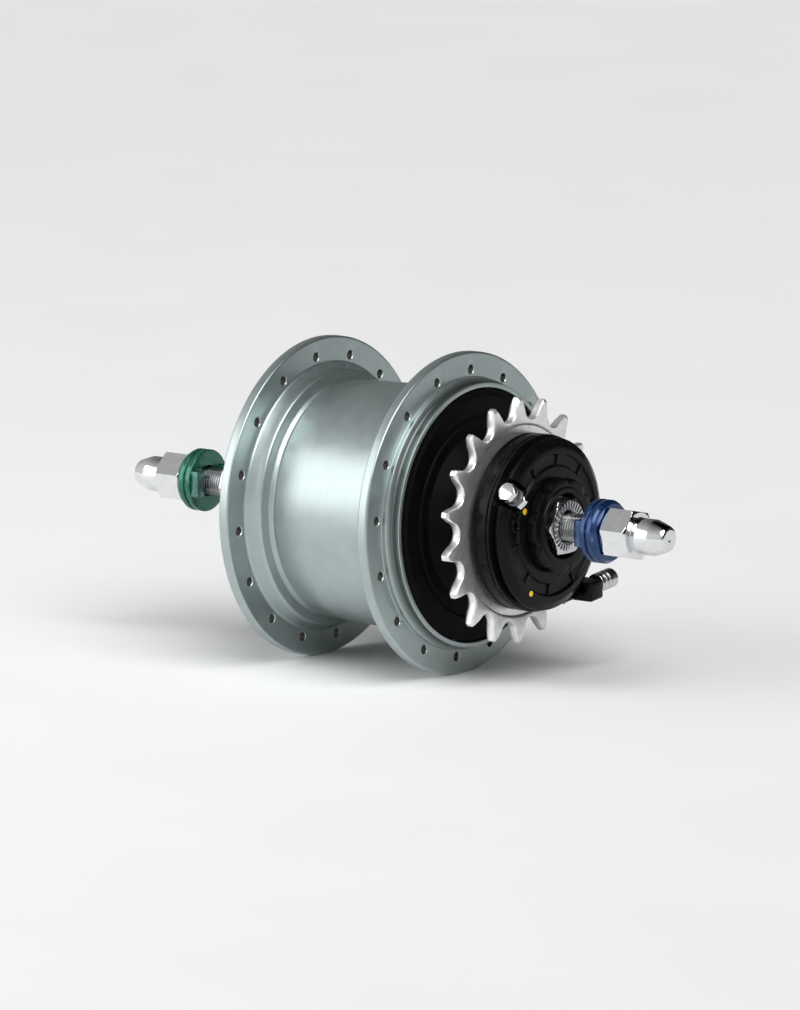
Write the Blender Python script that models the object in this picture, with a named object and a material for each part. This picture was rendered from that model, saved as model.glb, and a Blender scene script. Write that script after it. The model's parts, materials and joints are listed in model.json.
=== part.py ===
"""Bicycle hub gear: an internally geared rear hub for a 135 mm frame.

The axle lies along Y.  The bicycle faces +X, its drive side is -Y and its brake side is +Y.
The origin is the middle of the hub, halfway between the two locknut faces.
Stations along the axle are measured in millimetres towards the drive side.
"""
from math import atan2, cos, pi, radians, sin

import bmesh
import bpy
from mathutils import Matrix, Vector
from mathutils.geometry import tessellate_polygon

MM = 0.001

# ---------------------------------------------------------------- driving dimensions (mm)
OVER_LOCKNUTS = 135.0
AXLE_LENGTH = 187.0
AXLE_R = 4.75
GAP = 0.3

FLANGE_R = 52.0
LEFT_FLANGE = (-33.5, -29.8)
RIGHT_FLANGE = (22.0, 25.6)
SPOKE_CIRCLE_R = 46.3
SPOKE_HOLE_R = 1.45
SPOKE_HOLES = 16
SPOKE_PHASE = 6.6
BARREL_R = 38.6
SHELL_BORE_R = 35.2

SPROCKET_TEETH = 18
CHAIN_PITCH = 12.7
CHAIN_ROLLER_R = 3.9
SPROCKET_FACES = (45.2, 48.2)

GEAR_MODULE = 1.25
TIP_HEIGHT = 0.95
ROOT_DEPTH = 1.35
TOOTH_THINNING = 0.34
PLANETS = 3
PLANET_ORBIT_R = 18.75
FIRST_PLANET = 90.0
PIN_R = 2.5

LOW_SUN_TEETH = 21
LOW_RING_TEETH = 48
LOW_PLANET_TEETH = (9, 18)
HIGH_RING_TEETH = 42
HIGH_PLANET_TEETH = (18, 12, 9)
IDLE_SUN_TEETH = (12, 18)
HIGH_SUN_TEETH = 21

CASSETTE_R = 28.4
NUT_FLATS = 15.0
LOCKNUT_FLATS = 17.0
LOCKNUT_HEIGHT = 4.0
WASHER_FACES = (78.4, 84.2)
WASHER_R = 10.2
NUT_HEXAGON = 10.0
NUT_TURN = 47.0
NUT_CAP_R = 5.8
NUT_TIP = 106.5
CABLE_R = 26.2
CABLE_STATION = 57.7
CABLE_TANGENT = -84.0
CLAMP_R = 3.1
CLAMP_STATION = 60.2
CLAMP_ANGLE = 150.0
FIXING_RING_LOBES = 9
FIXING_RING_R = (15.4, 14.5)

COARSE = 16
ROUND = 24
FINE = 36


# ---------------------------------------------------------------- helpers
def clear_scene():
    for item in list(bpy.data.objects):
        bpy.data.objects.remove(item)


def finish(name, colour, metallic, roughness):
    """Principled material of one colour."""
    material = bpy.data.materials.new(name)
    material.use_nodes = True
    shader = material.node_tree.nodes["Principled BSDF"]
    shader.inputs["Base Color"].default_value = (*colour, 1.0)
    shader.inputs["Metallic"].default_value = metallic
    shader.inputs["Roughness"].default_value = roughness
    return material


def point(station, x, z):
    """World point, in metres, at a station along the axle."""
    return Vector((x * MM, -station * MM, z * MM))


def polar(radius, degrees):
    """Point of the X-Z plane at a radius and an angle from +X towards +Z."""
    return radius * cos(radians(degrees)), radius * sin(radians(degrees))


def circle(radius, count, centre=(0.0, 0.0), turn=0.0):
    """Corners of a circle drawn about a centre in the X-Z plane."""
    corners = (polar(radius, turn + 360.0 * k / count) for k in range(count))
    return [(centre[0] + x, centre[1] + z) for x, z in corners]


def gear_outline(teeth, phase, internal=False, centre=(0.0, 0.0)):
    """Outline of a gear, four points to a tooth, with one tooth centred at the phase angle."""
    pitch_r = GEAR_MODULE * teeth / 2.0
    inward = -1.0 if internal else 1.0
    tip_r = pitch_r + inward * TIP_HEIGHT
    root_r = pitch_r - inward * ROOT_DEPTH
    thickness = pi * GEAR_MODULE / 2.0 - TOOTH_THINNING
    slope = sin(radians(22.0))
    half_tip = (thickness / 2.0 - TIP_HEIGHT * slope) / tip_r
    half_root = (thickness / 2.0 + ROOT_DEPTH * slope * 0.6) / root_r
    outline = []
    for k in range(teeth):
        middle = radians(phase) + 2.0 * pi * k / teeth
        corners = ((root_r, -half_root), (tip_r, -half_tip), (tip_r, half_tip), (root_r, half_root))
        for radius, turn in corners:
            angle = middle + turn
            outline.append((centre[0] + radius * cos(angle), centre[1] + radius * sin(angle)))
    return outline


def new_object(name, bm, material, sharp=35.0):
    """Store a closed bmesh as an object with its faces pointing out."""
    bmesh.ops.recalc_face_normals(bm, faces=bm.faces)
    mesh = bpy.data.meshes.new(name)
    bm.to_mesh(mesh)
    bm.free()
    mesh.shade_smooth()
    mesh.set_sharp_from_angle(angle=radians(sharp))
    mesh.materials.append(material)
    item = bpy.data.objects.new(name, mesh)
    bpy.context.scene.collection.objects.link(item)
    return item


def cap(bm, loops):
    """Flat face between an outline and the holes inside it."""
    corners = [vert for loop in loops for vert in loop]
    for triangle in tessellate_polygon([[vert.co for vert in loop] for loop in loops]):
        bm.faces.new([corners[k] for k in triangle])


def bridge(bm, first, second):
    """Wall between rings of equally many corners, or a flat face between rings of one station."""
    count = len(first)
    if count != len(second):
        outer, inner = sorted((first, second), key=reach, reverse=True)
        cap(bm, [outer, inner])
        return
    for k in range(count):
        following = (k + 1) % count
        bm.faces.new((first[k], first[following], second[following], second[k]))


def skin(name, rings, material, through=False):
    """Body skinned over rings, each a (station, outline) pair.

    Rings with equally many corners are joined by a wall.  Others share a station and are joined
    by a flat face.  A through body's last ring returns to its first, as a bored part's does.
    """
    bm = bmesh.new()
    loops = [[bm.verts.new(point(station, x, z)) for x, z in outline] for station, outline in rings]
    pairs = list(zip(loops, loops[1:]))
    if through:
        pairs.append((loops[-1], loops[0]))
    for first, second in pairs:
        bridge(bm, first, second)
    if not through:
        cap(bm, [loops[0]])
        cap(bm, [loops[-1]])
    return new_object(name, bm, material)


def reach(loop):
    """Largest distance from a ring's own middle."""
    middle = sum((vert.co for vert in loop), Vector()) / len(loop)
    return max((vert.co - middle).length for vert in loop)


def turned(name, profile, material, segments=ROUND, bored=True):
    """Body turned about the axle from a profile of (station, radius) points."""
    bm = bmesh.new()
    verts = [bm.verts.new(point(station, radius, 0.0)) for station, radius in profile]
    edges = [bm.edges.new(pair) for pair in zip(verts, verts[1:])]
    if bored:
        edges.append(bm.edges.new((verts[-1], verts[0])))
    bmesh.ops.spin(bm, geom=verts + edges, cent=(0, 0, 0), axis=(0, 1, 0), dvec=(0, 0, 0),
                   angle=2.0 * pi, steps=segments, use_merge=True, use_duplicate=False)
    bmesh.ops.remove_doubles(bm, verts=bm.verts, dist=0.001 * MM)
    return new_object(name, bm, material)


def sleeve(name, start, end, inner, outer, material, segments=COARSE):
    """Plain bush between two stations."""
    return turned(name, [(start, inner), (start, outer), (end, outer), (end, inner)], material, segments)


def rod(name, start, end, radius, centre, material, segments=12):
    """Plain round bar parallel to the axle."""
    outline = circle(radius, segments, centre)
    return skin(name, [(start, outline), (end, outline)], material)


def bar(name, station, centre, turn, size, material):
    """Block at a place in the X-Z plane, turned about the axle; size is radial, tangential, axial."""
    bm = bmesh.new()
    bmesh.ops.create_cube(bm, size=1.0)
    bmesh.ops.scale(bm, verts=bm.verts, vec=(size[0] * MM, size[2] * MM, size[1] * MM))
    bmesh.ops.rotate(bm, verts=bm.verts, matrix=Matrix.Rotation(radians(-turn), 3, "Y"))
    bmesh.ops.translate(bm, verts=bm.verts, vec=point(station, *centre))
    return new_object(name, bm, material)


def combine(item, other, operation):
    """Join another object to this one, or cut it away, with an exact Boolean."""
    step = item.modifiers.new(operation.title(), "BOOLEAN")
    step.operation = operation
    step.solver = "EXACT"
    step.object = other
    other.hide_render = True
    other.display_type = "WIRE"


def on_circle(radius, angle, spacing, count):
    """Places spread round the axle, with their angles."""
    for k in range(count):
        yield k + 1, angle + k * spacing, polar(radius, angle + k * spacing)


# ---------------------------------------------------------------- shell
def make_shell(material):
    """Hub shell: boss and rotor seat, two spoke flanges, bulged barrel and open drive-side mouth."""
    outside = [(-60.0, 16.2), (-59.2, 16.9), (-51.3, 16.9), (-51.3, 21.5), (-47.0, 22.5), (-40.5, 36.0),
               (LEFT_FLANGE[0], 43.5), (LEFT_FLANGE[0], FLANGE_R), (LEFT_FLANGE[1], FLANGE_R),
               (LEFT_FLANGE[1], 42.2), (-24.8, 41.2), (-23.4, BARREL_R - 0.9), (-12.0, BARREL_R + 0.5),
               (0.0, BARREL_R + 0.9), (14.0, BARREL_R + 0.7), (19.0, 40.6), (RIGHT_FLANGE[0], 43.9),
               (RIGHT_FLANGE[0], FLANGE_R), (RIGHT_FLANGE[1], FLANGE_R), (RIGHT_FLANGE[1], 44.4),
               (29.0, 44.2), (31.6, 42.0)]
    inside = [(31.6, 41.0), (26.3, 41.0), (24.2, SHELL_BORE_R), (-31.0, SHELL_BORE_R), (-37.0, 30.0),
              (-42.5, 20.0), (-44.4, 14.0), (-60.0, 14.0)]
    shell = turned("hub_shell", outside + inside, material, FINE)
    drills = spoke_drill("left_spoke_drill", LEFT_FLANGE, SPOKE_PHASE, material)
    combine(shell, drills, "DIFFERENCE")
    half_step = 180.0 / SPOKE_HOLES
    drills = spoke_drill("right_spoke_drill", RIGHT_FLANGE, SPOKE_PHASE + half_step, material)
    combine(shell, drills, "DIFFERENCE")
    return shell


def spoke_drill(name, flange, phase, material):
    """Ring of round cutters, one for each spoke hole of a flange."""
    bm = bmesh.new()
    for _, _, centre in on_circle(SPOKE_CIRCLE_R, phase, 360.0 / SPOKE_HOLES, SPOKE_HOLES):
        ends = [[bm.verts.new(point(station, x, z)) for x, z in circle(SPOKE_HOLE_R, 6, centre)]
                for station in (flange[0] - 1.5, flange[1] + 1.5)]
        bm.faces.new(ends[0])
        bm.faces.new(ends[1])
        bridge(bm, *ends)
    return new_object(name, bm, material)


# ---------------------------------------------------------------- axle group
def make_axle(steel):
    half = AXLE_LENGTH / 2.0
    profile = [(-half, 0.0), (-half, AXLE_R - 0.8), (0.8 - half, AXLE_R), (half - 0.8, AXLE_R),
               (half, AXLE_R - 0.8), (half, 0.0)]
    return turned("axle", profile, steel, COARSE, bored=False)


def make_cone(name, side, collar_end, bore, steel):
    """Bearing cone: a collar that flares into the ball track, which faces the middle of the hub."""
    flare = collar_end - side * 8.0
    profile = [(collar_end, bore), (collar_end, 8.8), (flare + side * 0.5, 8.8), (flare - side * 2.4, 12.3),
               (flare - side * 3.0, 12.3), (flare - side * 3.0, bore)]
    return turned(name, profile, steel, COARSE)


def make_locknut(name, side, steel):
    """Hexagonal locknut whose outer face meets the frame."""
    face = side * OVER_LOCKNUTS / 2.0
    hexagon = circle(LOCKNUT_FLATS / 2.0 / cos(radians(30.0)), 6, turn=15.0)
    hole = circle(AXLE_R + GAP, 12)
    back = face - side * LOCKNUT_HEIGHT
    return skin(name, [(back, hexagon), (face, hexagon), (face, hole), (back, hole)], steel, through=True)


def make_non_turn_washer(name, side, material):
    """Grooved washer with two lugs that stand in the frame's slot."""
    inner, outer = WASHER_FACES
    hole_r = AXLE_R + GAP
    groove_r = WASHER_R - 0.6
    profile = [(inner, hole_r), (inner, WASHER_R), (inner + 1.8, WASHER_R), (inner + 2.0, groove_r),
               (inner + 2.5, groove_r), (inner + 2.7, WASHER_R), (outer - 1.2, WASHER_R), (outer, groove_r),
               (outer, hole_r)]
    washer = turned(name, [(side * station, radius) for station, radius in profile], material, ROUND)
    for word, x in (("front", 7.4), ("rear", -7.4)):
        lug = bar(f"{name}_{word}_lug", side * (inner - 1.2), (x, 0.0), 0.0, (3.6, 8.6, 3.2), material)
        combine(washer, lug, "UNION")
    return washer


def make_cap_nut(name, side, chrome):
    """Hexagonal nut with a round closed cap over the axle's end."""
    start = WASHER_FACES[1] + GAP
    hex_end = start + NUT_HEXAGON
    flat_r = NUT_FLATS / 2.0
    corner_r = flat_r / cos(radians(30.0))
    hole_r = AXLE_R + GAP
    rings = [(start, circle(hole_r, 12)), (start, circle(flat_r, 6, turn=NUT_TURN)),
             (start + 0.7, circle(corner_r, 6, turn=NUT_TURN)),
             (hex_end - 0.9, circle(corner_r, 6, turn=NUT_TURN)),
             (hex_end, circle(flat_r - 0.2, 6, turn=NUT_TURN)), (hex_end, circle(NUT_CAP_R - 0.5, 18)),
             (hex_end + 0.7, circle(NUT_CAP_R, 18)), (NUT_TIP - 5.2, circle(NUT_CAP_R, 18)),
             (NUT_TIP - 0.8, circle(4.4, 18)), (NUT_TIP, circle(3.4, 18))]
    bm = bmesh.new()
    loops = [[bm.verts.new(point(side * station, x, z)) for x, z in outline] for station, outline in rings]
    floor = [bm.verts.new(point(side * (AXLE_LENGTH / 2.0 + 1.0), x, z)) for x, z in circle(hole_r, 12)]
    for first, second in zip([floor] + loops, loops):
        bridge(bm, first, second)
    cap(bm, [floor])
    cap(bm, [loops[-1]])
    return new_object(name, bm, chrome, 25.0)


def make_sun(name, teeth, phase, start, end, steel):
    """Sun gear with a plain bore round the axle."""
    outline = gear_outline(teeth, phase)
    hole = circle(AXLE_R + GAP, 12)
    return skin(name, [(start, outline), (end, outline), (end, hole), (start, hole)], steel, through=True)


# ---------------------------------------------------------------- cassette joint
def make_cable_bracket(material):
    """Fixed plate of the cassette joint, with a skirt round its rim and an arm for the cable stop."""
    profile = [(51.4, 9.3), (51.4, 23.5), (49.2, 24.5), (49.2, CASSETTE_R), (55.0, CASSETTE_R),
               (55.0, 9.3)]
    bracket = turned("cable_bracket", profile, material, ROUND)
    root = bar("arm_root", 52.5, beside_cable(25.9, 15.9), CABLE_TANGENT, (8.2, 16.0, 4.1), material)
    post = bar("arm_post", 56.0, beside_cable(27.2, 21.3), CABLE_TANGENT, (6.4, 7.0, 10.0), material)
    drill_profile = [(15.0, 0.0), (15.0, 1.2), (30.0, 1.2), (30.0, 0.0)]
    drill = spindle("arm_drill", cable_start(), cable_line(), drill_profile, 8, material)
    combine(bracket, root, "UNION")
    combine(bracket, post, "UNION")
    combine(bracket, drill, "DIFFERENCE")
    return bracket


def cable_line():
    """Direction in which the cable leaves the pulley."""
    return Vector((-sin(radians(CABLE_TANGENT)), 0.0, cos(radians(CABLE_TANGENT))))


def cable_start():
    """Place where the cable leaves the pulley's groove."""
    return point(CABLE_STATION, *polar(CABLE_R, CABLE_TANGENT))


def beside_cable(radius, distance):
    """Place at a distance along the cable from where it leaves the pulley, at a radius there."""
    x, z = polar(radius, CABLE_TANGENT)
    along = cable_line()
    return x + distance * along.x, z + distance * along.z


def spindle(name, start, along, profile, segments, material):
    """Body turned about a line in the X-Z plane from (distance, radius) points."""
    bm = bmesh.new()
    verts = [bm.verts.new(start + along * distance * MM + Vector((0.0, radius * MM, 0.0)))
             for distance, radius in profile]
    edges = [bm.edges.new(pair) for pair in zip(verts, verts[1:])]
    if profile[0][1] > 0.0:
        edges.append(bm.edges.new((verts[-1], verts[0])))
    bmesh.ops.spin(bm, geom=verts + edges, cent=start, axis=along, dvec=(0, 0, 0),
                   angle=2.0 * pi, steps=segments, use_merge=True, use_duplicate=False)
    bmesh.ops.remove_doubles(bm, verts=bm.verts, dist=0.001 * MM)
    return new_object(name, bm, material)


def make_cable_stop(material):
    """Ferrule against the bracket's arm that the cable's casing pushes on."""
    profile = [(25.1, 1.2), (25.1, 3.2), (33.0, 3.2), (34.0, 2.6), (34.0, 1.2)]
    return spindle("cable_stop", cable_start(), cable_line(), profile, 10, material)


def make_cable_pulley(material):
    """Grooved wheel that the shift cable turns, with an open pocket for the cable's clamp."""
    profile = [(55.3, 6.6), (55.3, CASSETTE_R), (56.4, CASSETTE_R), (57.0, CASSETTE_R - 3.0),
               (58.4, CASSETTE_R - 3.0), (59.0, CASSETTE_R - 0.6), (61.5, 24.6), (61.5, 6.6)]
    pulley = turned("cable_pulley", profile, material, ROUND)
    pocket_size = (12.0, 9.4, 5.4)
    pocket = bar("clamp_pocket", 59.5, polar(24.6, CLAMP_ANGLE), CLAMP_ANGLE, pocket_size, material)
    combine(pulley, pocket, "DIFFERENCE")
    return pulley


def make_cable_clamp(material):
    """Clamp that holds the cable's end, lying along a radius in the pulley's pocket."""
    x, z = polar(1.0, CLAMP_ANGLE)
    profile = [(19.5, 0.0), (19.5, CLAMP_R), (28.3, CLAMP_R), (28.3, 0.0)]
    return spindle("cable_clamp_bolt", point(CLAMP_STATION, 0.0, 0.0), Vector((x, 0.0, z)), profile, 12,
                   material)


def make_fixing_ring(material):
    """Lock ring of the cassette joint, with grip lobes on its rim."""
    wide, narrow = FIXING_RING_R
    steps = FIXING_RING_LOBES * 4
    rim = []
    for k in range(steps):
        rim.append(polar(wide if k % 4 < 2 else narrow, 360.0 * k / steps))
    crown = [(x * 0.93, z * 0.93) for x, z in rim]
    hole = circle(10.4, 24)
    rings = [(61.8, rim), (64.6, rim), (65.9, crown), (65.9, hole), (61.8, hole)]
    return skin("fixing_ring", rings, material, through=True)


# ---------------------------------------------------------------- driver group
def sprocket_outline():
    """Chain wheel outline: a round seat for each roller and a narrow tooth between seats."""
    pitch_r = CHAIN_PITCH / 2.0 / sin(pi / SPROCKET_TEETH)
    step = 360.0 / SPROCKET_TEETH
    outline = []
    for k in range(SPROCKET_TEETH):
        seat = k * step
        centre = polar(pitch_r, seat)
        for turn in (-66.0, -24.0, 24.0, 66.0):
            dx, dz = polar(CHAIN_ROLLER_R, seat + 180.0 + turn)
            outline.append((centre[0] + dx, centre[1] + dz))
        outline.append(polar(pitch_r + 3.1, seat + step * 0.45))
        outline.append(polar(pitch_r + 3.1, seat + step * 0.55))
    return sorted(outline, key=lambda corner: atan2(corner[1], corner[0]))


def make_sprocket(material):
    start, end = SPROCKET_FACES
    outline = sprocket_outline()
    hole = circle(17.4, ROUND)
    return skin("sprocket", [(start, outline), (end, outline), (end, hole), (start, hole)], material,
                through=True)


def make_driver(steel):
    """Driver: neck that carries the sprocket and disc that carries the low range's ring gear."""
    profile = [(27.5, 10.5), (27.5, 33.6), (29.7, 33.6), (29.7, 17.1), (48.5, 17.1), (48.5, 16.4),
               (49.7, 16.4), (49.7, 17.1), (50.8, 17.1), (50.8, 14.0), (40.3, 14.0), (40.3, 10.5)]
    return turned("driver", profile, steel, ROUND)


def make_snap_ring(steel):
    """Open spring ring that keeps the sprocket on the driver."""
    opening = 12.0
    count = 22
    corners = []
    for radius, order in ((18.9, range(count + 1)), (16.7, range(count, -1, -1))):
        for k in order:
            corners.append(polar(radius, -90.0 + opening / 2.0 + (360.0 - opening) * k / count))
    return skin("snap_ring", [(48.55, corners), (49.65, corners)], steel)


def make_ring_gear(name, teeth, phase, start, end, outer_r, steel):
    """Ring gear with its teeth inside."""
    inside = gear_outline(teeth, phase, internal=True)
    outside = circle(outer_r, ROUND)
    return skin(name, [(start, outside), (end, outside), (end, inside), (start, inside)], steel, through=True)


def make_dust_cap(rubber):
    """Dished cap that closes the shell's mouth round the driver."""
    profile = [(30.0, 17.4), (30.0, 40.6), (31.2, 40.6), (31.8, 38.5), (31.8, 27.0), (42.0, 20.0),
               (42.0, 17.4)]
    return turned("drive_side_dust_cap", profile, rubber, ROUND)


# ---------------------------------------------------------------- planet carrier group
def make_carrier(material):
    """Planet carrier: three plates joined by three stays between the planets."""
    plates = []
    for start, end in ((-30.3, -27.4), (6.8, 9.6), (24.9, 27.1)):
        rim = circle(27.8, ROUND)
        bore = circle(7.0, 16)
        plate = skin("carrier_plate", [(start, rim), (end, rim), (end, bore), (start, bore)], material,
                     through=True)
        plates.append(plate)
    carrier = plates[0]
    carrier.name = "planet_carrier"
    for plate in plates[1:]:
        combine(carrier, plate, "UNION")
    for _, _, centre in on_circle(20.0, FIRST_PLANET + 60.0, 360.0 / PLANETS, PLANETS):
        combine(carrier, rod("carrier_stay", -29.0, 26.0, 3.0, centre, material, 8), "UNION")
    for _, _, centre in on_circle(PLANET_ORBIT_R, FIRST_PLANET, 360.0 / PLANETS, PLANETS):
        combine(carrier, rod("pin_drill", -35.0, 35.0, PIN_R + GAP, centre, material, 10), "DIFFERENCE")
    return carrier


def make_low_planet(name, centre, steel):
    """Two-step planet: the small step runs on the sun and the large step in the ring gear."""
    small, large = LOW_PLANET_TEETH
    small_outline = gear_outline(small, FIRST_PLANET + 180.0 - 180.0 / small, centre=centre)
    large_outline = gear_outline(large, FIRST_PLANET, centre=centre)
    hole = circle(PIN_R + GAP, 10, centre)
    rings = [(10.0, small_outline), (18.4, small_outline), (18.4, large_outline), (24.5, large_outline),
             (24.5, hole), (10.0, hole)]
    return skin(name, rings, steel, through=True)


def make_high_planet(name, centre, steel):
    """Three-step planet, with a plain collar before its smallest step."""
    large, middle, small = HIGH_PLANET_TEETH
    large_outline = gear_outline(large, FIRST_PLANET + 180.0 - 180.0 / large, centre=centre)
    middle_outline = gear_outline(middle, FIRST_PLANET, centre=centre)
    small_outline = gear_outline(small, FIRST_PLANET + 180.0 - 180.0 / small, centre=centre)
    collar = circle(9.3, 16, centre)
    hole = circle(PIN_R + GAP, 10, centre)
    rings = [(-27.0, large_outline), (-21.4, large_outline), (-21.4, middle_outline),
             (-12.4, middle_outline), (-12.4, collar), (-11.8, collar), (-11.8, small_outline),
             (-3.0, small_outline), (-3.0, hole), (-27.0, hole)]
    return skin(name, rings, steel, through=True)


# ---------------------------------------------------------------- assembly
def build():
    clear_scene()
    shell_alloy = finish("shell_alloy", (0.50, 0.56, 0.55), 0.8, 0.35)
    steel = finish("gear_steel", (0.45, 0.45, 0.46), 0.9, 0.35)
    dark_steel = finish("dark_steel", (0.18, 0.18, 0.19), 0.9, 0.4)
    silver_steel = finish("sprocket_steel", (0.60, 0.60, 0.60), 0.9, 0.35)
    chrome = finish("nut_chrome", (0.80, 0.80, 0.82), 1.0, 0.12)
    black = finish("black_plastic", (0.02, 0.02, 0.02), 0.0, 0.4)
    rubber = finish("seal_rubber", (0.03, 0.03, 0.03), 0.0, 0.6)
    blue = finish("right_washer_blue", (0.02, 0.06, 0.22), 0.3, 0.3)
    green = finish("left_washer_green", (0.05, 0.30, 0.18), 0.3, 0.3)
    brass = finish("clutch_bronze", (0.55, 0.42, 0.20), 0.9, 0.35)

    make_shell(shell_alloy)
    sleeve("left_ball_ring", -48.7, -45.0, 8.2, 13.7, steel)
    sleeve("right_ball_ring", 26.8, 29.4, 34.1, 40.7, steel, ROUND)
    sleeve("left_seal", -59.8, -57.6, 9.1, 13.7, rubber)

    make_axle(dark_steel)
    make_cone("left_cone", -1.0, -60.0, AXLE_R + GAP, steel)
    make_cone("right_cone", 1.0, 54.9, 6.6, steel)
    sleeve("left_spacer", -63.2, -60.3, AXLE_R + GAP, 8.6, steel)
    sleeve("right_spacer", 61.8, 63.2, AXLE_R + GAP, 9.4, steel)
    for word, side, washer in (("left", -1.0, green), ("right", 1.0, blue)):
        make_locknut(f"{word}_locknut", side, steel)
        make_non_turn_washer(f"{word}_non_turn_washer", side, washer)
        make_cap_nut(f"{word}_cap_nut", side, chrome)
    make_sun("low_sun_gear", LOW_SUN_TEETH, FIRST_PLANET, 10.0, 18.0, steel)
    make_sun("high_sun_gear", HIGH_SUN_TEETH, FIRST_PLANET, -11.5, -3.5, steel)

    make_cable_bracket(black)
    make_cable_stop(dark_steel)
    make_fixing_ring(black)
    make_cable_pulley(black)
    sleeve("shift_sleeve", 18.6, 61.5, AXLE_R + GAP, 6.3, steel)
    make_cable_clamp(chrome)

    make_driver(dark_steel)
    make_sprocket(silver_steel)
    make_snap_ring(steel)
    make_dust_cap(black)
    make_ring_gear("low_ring_gear", LOW_RING_TEETH, FIRST_PLANET - 180.0 / LOW_RING_TEETH, 18.9, 27.2, 33.4,
                   steel)
    sleeve("driver_ball_ring", 40.7, 43.6, 6.8, 13.7, steel)

    make_carrier(steel)
    for k, _, centre in on_circle(PLANET_ORBIT_R, FIRST_PLANET, 360.0 / PLANETS, PLANETS):
        rod(f"planet_pin_{k}", -30.1, 26.9, PIN_R, centre, steel, 10)
        make_low_planet(f"low_planet_{k}", centre, steel)
        make_high_planet(f"high_planet_{k}", centre, steel)
    small_idle, large_idle = IDLE_SUN_TEETH
    make_sun("small_idle_sun", small_idle, FIRST_PLANET, -27.0, -21.7, steel)
    make_sun("large_idle_sun", large_idle, FIRST_PLANET + 180.0 / large_idle, -21.1, -12.7, steel)

    make_ring_gear("high_ring_gear", HIGH_RING_TEETH, FIRST_PLANET - 180.0 / HIGH_RING_TEETH, -20.8, -12.8,
                   30.2, steel)
    sleeve("clutch_cam", -20.6, -3.8, 30.5, 32.2, steel, ROUND)
    sleeve("clutch_cage", -3.5, -1.6, 31.0, 34.8, brass, ROUND)
    for k, _, centre in on_circle(33.7, 0.0, 60.0, 6):
        rod(f"clutch_roller_{k}", -19.0, -4.4, 1.2, centre, steel, 8)


build()
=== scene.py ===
"""Looks of the bicycle hub gear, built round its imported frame.

Stations run along the axle in millimetres towards the drive side, so a station is -y.
Radii and angles lie in the X-Z plane, with angles in degrees from +X towards +Z.
"""
import json
from math import atan2, cos, degrees, pi, radians, sin, sqrt, tan

import bmesh
import bpy
from mathutils import Matrix, Vector


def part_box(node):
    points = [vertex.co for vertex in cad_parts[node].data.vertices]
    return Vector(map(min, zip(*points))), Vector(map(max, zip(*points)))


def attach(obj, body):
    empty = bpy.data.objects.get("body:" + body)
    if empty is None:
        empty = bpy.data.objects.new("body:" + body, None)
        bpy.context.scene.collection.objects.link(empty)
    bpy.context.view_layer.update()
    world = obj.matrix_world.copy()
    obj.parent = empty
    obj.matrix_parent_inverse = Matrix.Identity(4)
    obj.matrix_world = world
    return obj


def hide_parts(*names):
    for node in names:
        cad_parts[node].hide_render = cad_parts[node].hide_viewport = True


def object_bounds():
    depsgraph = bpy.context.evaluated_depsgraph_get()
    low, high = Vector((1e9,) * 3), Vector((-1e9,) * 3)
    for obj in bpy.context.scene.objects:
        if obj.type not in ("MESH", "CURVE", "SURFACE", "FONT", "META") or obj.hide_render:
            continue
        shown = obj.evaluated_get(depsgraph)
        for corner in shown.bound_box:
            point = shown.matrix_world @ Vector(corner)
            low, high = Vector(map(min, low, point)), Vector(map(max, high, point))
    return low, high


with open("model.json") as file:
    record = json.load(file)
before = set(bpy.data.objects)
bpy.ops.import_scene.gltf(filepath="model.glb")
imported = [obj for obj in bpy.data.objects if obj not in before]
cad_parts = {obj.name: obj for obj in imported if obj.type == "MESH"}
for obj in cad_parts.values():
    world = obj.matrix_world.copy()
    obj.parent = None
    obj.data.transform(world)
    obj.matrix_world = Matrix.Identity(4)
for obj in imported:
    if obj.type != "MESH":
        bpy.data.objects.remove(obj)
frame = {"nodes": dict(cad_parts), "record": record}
cad_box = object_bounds()
NODES = frame["nodes"]
MM = 0.001

# ---------------------------------------------------------------- sizes (mm and degrees), light and view


def station_span(node):
    """First and last station of a CAD node."""
    low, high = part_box(node)
    return -high.y / MM, -low.y / MM


def radius_of(node):
    """Outer radius of a CAD node that is centred on the axle, read along +X."""
    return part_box(node)[1].x / MM


FLANGE_R = radius_of("hub_shell")
BOSS_END = station_span("hub_shell")[0]
MOUTH_END = station_span("hub_shell")[1]
LEFT_FLANGE = (-33.5, -29.8)
RIGHT_FLANGE = (22.0, 25.6)
SPOKE_CIRCLE_R = 46.3
SPOKE_HOLE_R = 1.45
SPOKE_HOLES = 16
SPOKE_PHASE = 6.6
SPOKE_ROWS = (LEFT_FLANGE, SPOKE_PHASE), (RIGHT_FLANGE, SPOKE_PHASE + 180.0 / SPOKE_HOLES)
BARREL_R = 38.6
BORE_R = 35.2
BOSS_BORE_R = 14.3
BOSS_THREAD_R = 14.9
BOSS_THREAD_TURNS = 7
SPLINES = 26
SPLINE_ROOT_R = 15.75
SPLINE_TIP_R = 16.9
# Stations of the lip groove, where the shell's colour gets a band of painted shade.
LIP_GROOVE = (27.7, 30.5)

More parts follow.
